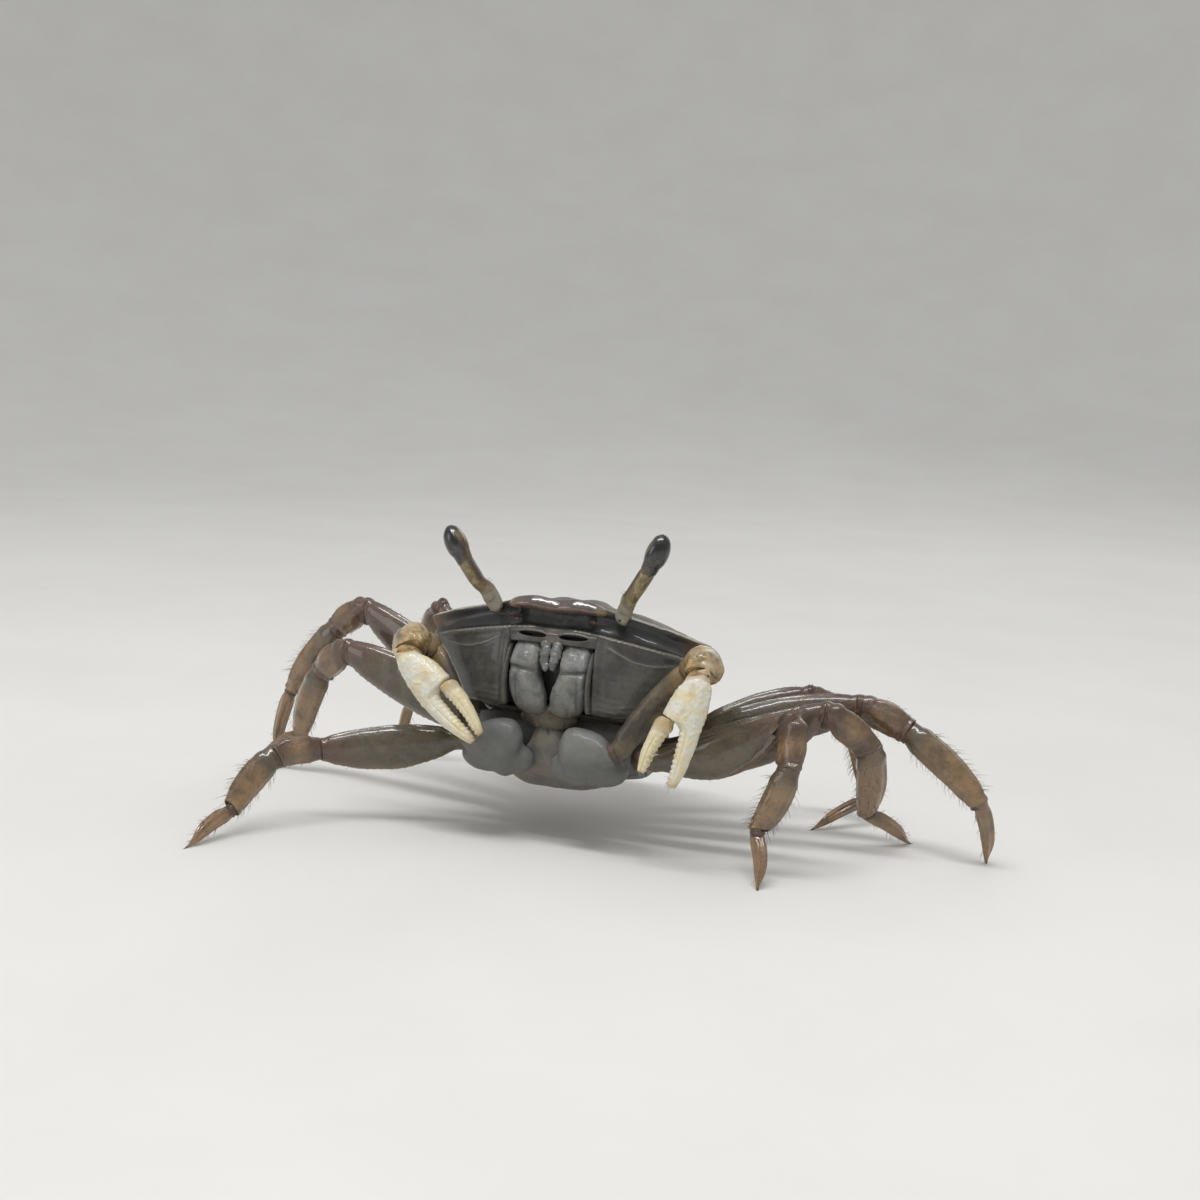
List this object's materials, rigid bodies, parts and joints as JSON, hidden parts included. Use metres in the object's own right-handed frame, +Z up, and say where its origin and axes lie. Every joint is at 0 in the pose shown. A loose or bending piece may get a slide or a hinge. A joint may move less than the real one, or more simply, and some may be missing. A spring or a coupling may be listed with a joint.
{
  "type": "fiddler crab",
  "caption": "Life-size still model of a standing female fiddler crab with raised eyes, small equal claws, folded tail and jointed walking legs.",
  "frame": {"origin": "on the floor, under the middle of the crab's box", "axes": "the crab faces -Y, its left side is +X, +Z is up"},
  "size_m": [0.0666, 0.033, 0.0256],
  "materials": {
    "shell": "wet gloss shell, slate black with olive",
    "breast": "smooth blue-grey shell, satin",
    "tail": "brown-grey shell, satin",
    "mouth": "blue-grey shell, satin",
    "stalk": "tan shell, wet gloss",
    "cornea": "black, high gloss",
    "feeler": "brown, satin",
    "leg": "brown-olive shell, wet gloss",
    "claw_arm": "amber shell, wet gloss",
    "hand": "cream-white shell, satin"
  },
  "bodies": {
    "root": {"carapace": "shell", "sternum": "breast", "pleon": "tail", "maxilliped_left": "mouth", "maxilliped_right": "mouth", "eyestalk_left": "stalk", "eyestalk_right": "stalk", "eye_left": "cornea", "eye_right": "cornea", "antenna_left": "feeler", "antenna_right": "feeler", "claw_left_ischium": "breast", "claw_left_merus": "claw_arm", "claw_left_carpus": "claw_arm", "claw_left_hand": "hand", "claw_left_finger": "hand", "claw_right_ischium": "breast", "claw_right_merus": "claw_arm", "claw_right_carpus": "claw_arm", "claw_right_hand": "hand", "claw_right_finger": "hand", "leg_left_1_merus": "leg", "leg_left_1_carpus": "leg", "leg_left_1_propodus": "leg", "leg_left_1_dactyl": "leg", "leg_left_2_merus": "leg", "leg_left_2_carpus": "leg", "leg_left_2_propodus": "leg", "leg_left_2_dactyl": "leg", "leg_left_3_merus": "leg", "leg_left_3_carpus": "leg", "leg_left_3_propodus": "leg", "leg_left_3_dactyl": "leg", "leg_left_4_merus": "leg", "leg_left_4_carpus": "leg", "leg_left_4_propodus": "leg", "leg_left_4_dactyl": "leg", "leg_right_1_merus": "leg", "leg_right_1_carpus": "leg", "leg_right_1_propodus": "leg", "leg_right_1_dactyl": "leg", "leg_right_2_merus": "leg", "leg_right_2_carpus": "leg", "leg_right_2_propodus": "leg", "leg_right_2_dactyl": "leg", "leg_right_3_merus": "leg", "leg_right_3_carpus": "leg", "leg_right_3_propodus": "leg", "leg_right_3_dactyl": "leg", "leg_right_4_merus": "leg", "leg_right_4_carpus": "leg", "leg_right_4_propodus": "leg", "leg_right_4_dactyl": "leg"}
  },
  "joints": []
}
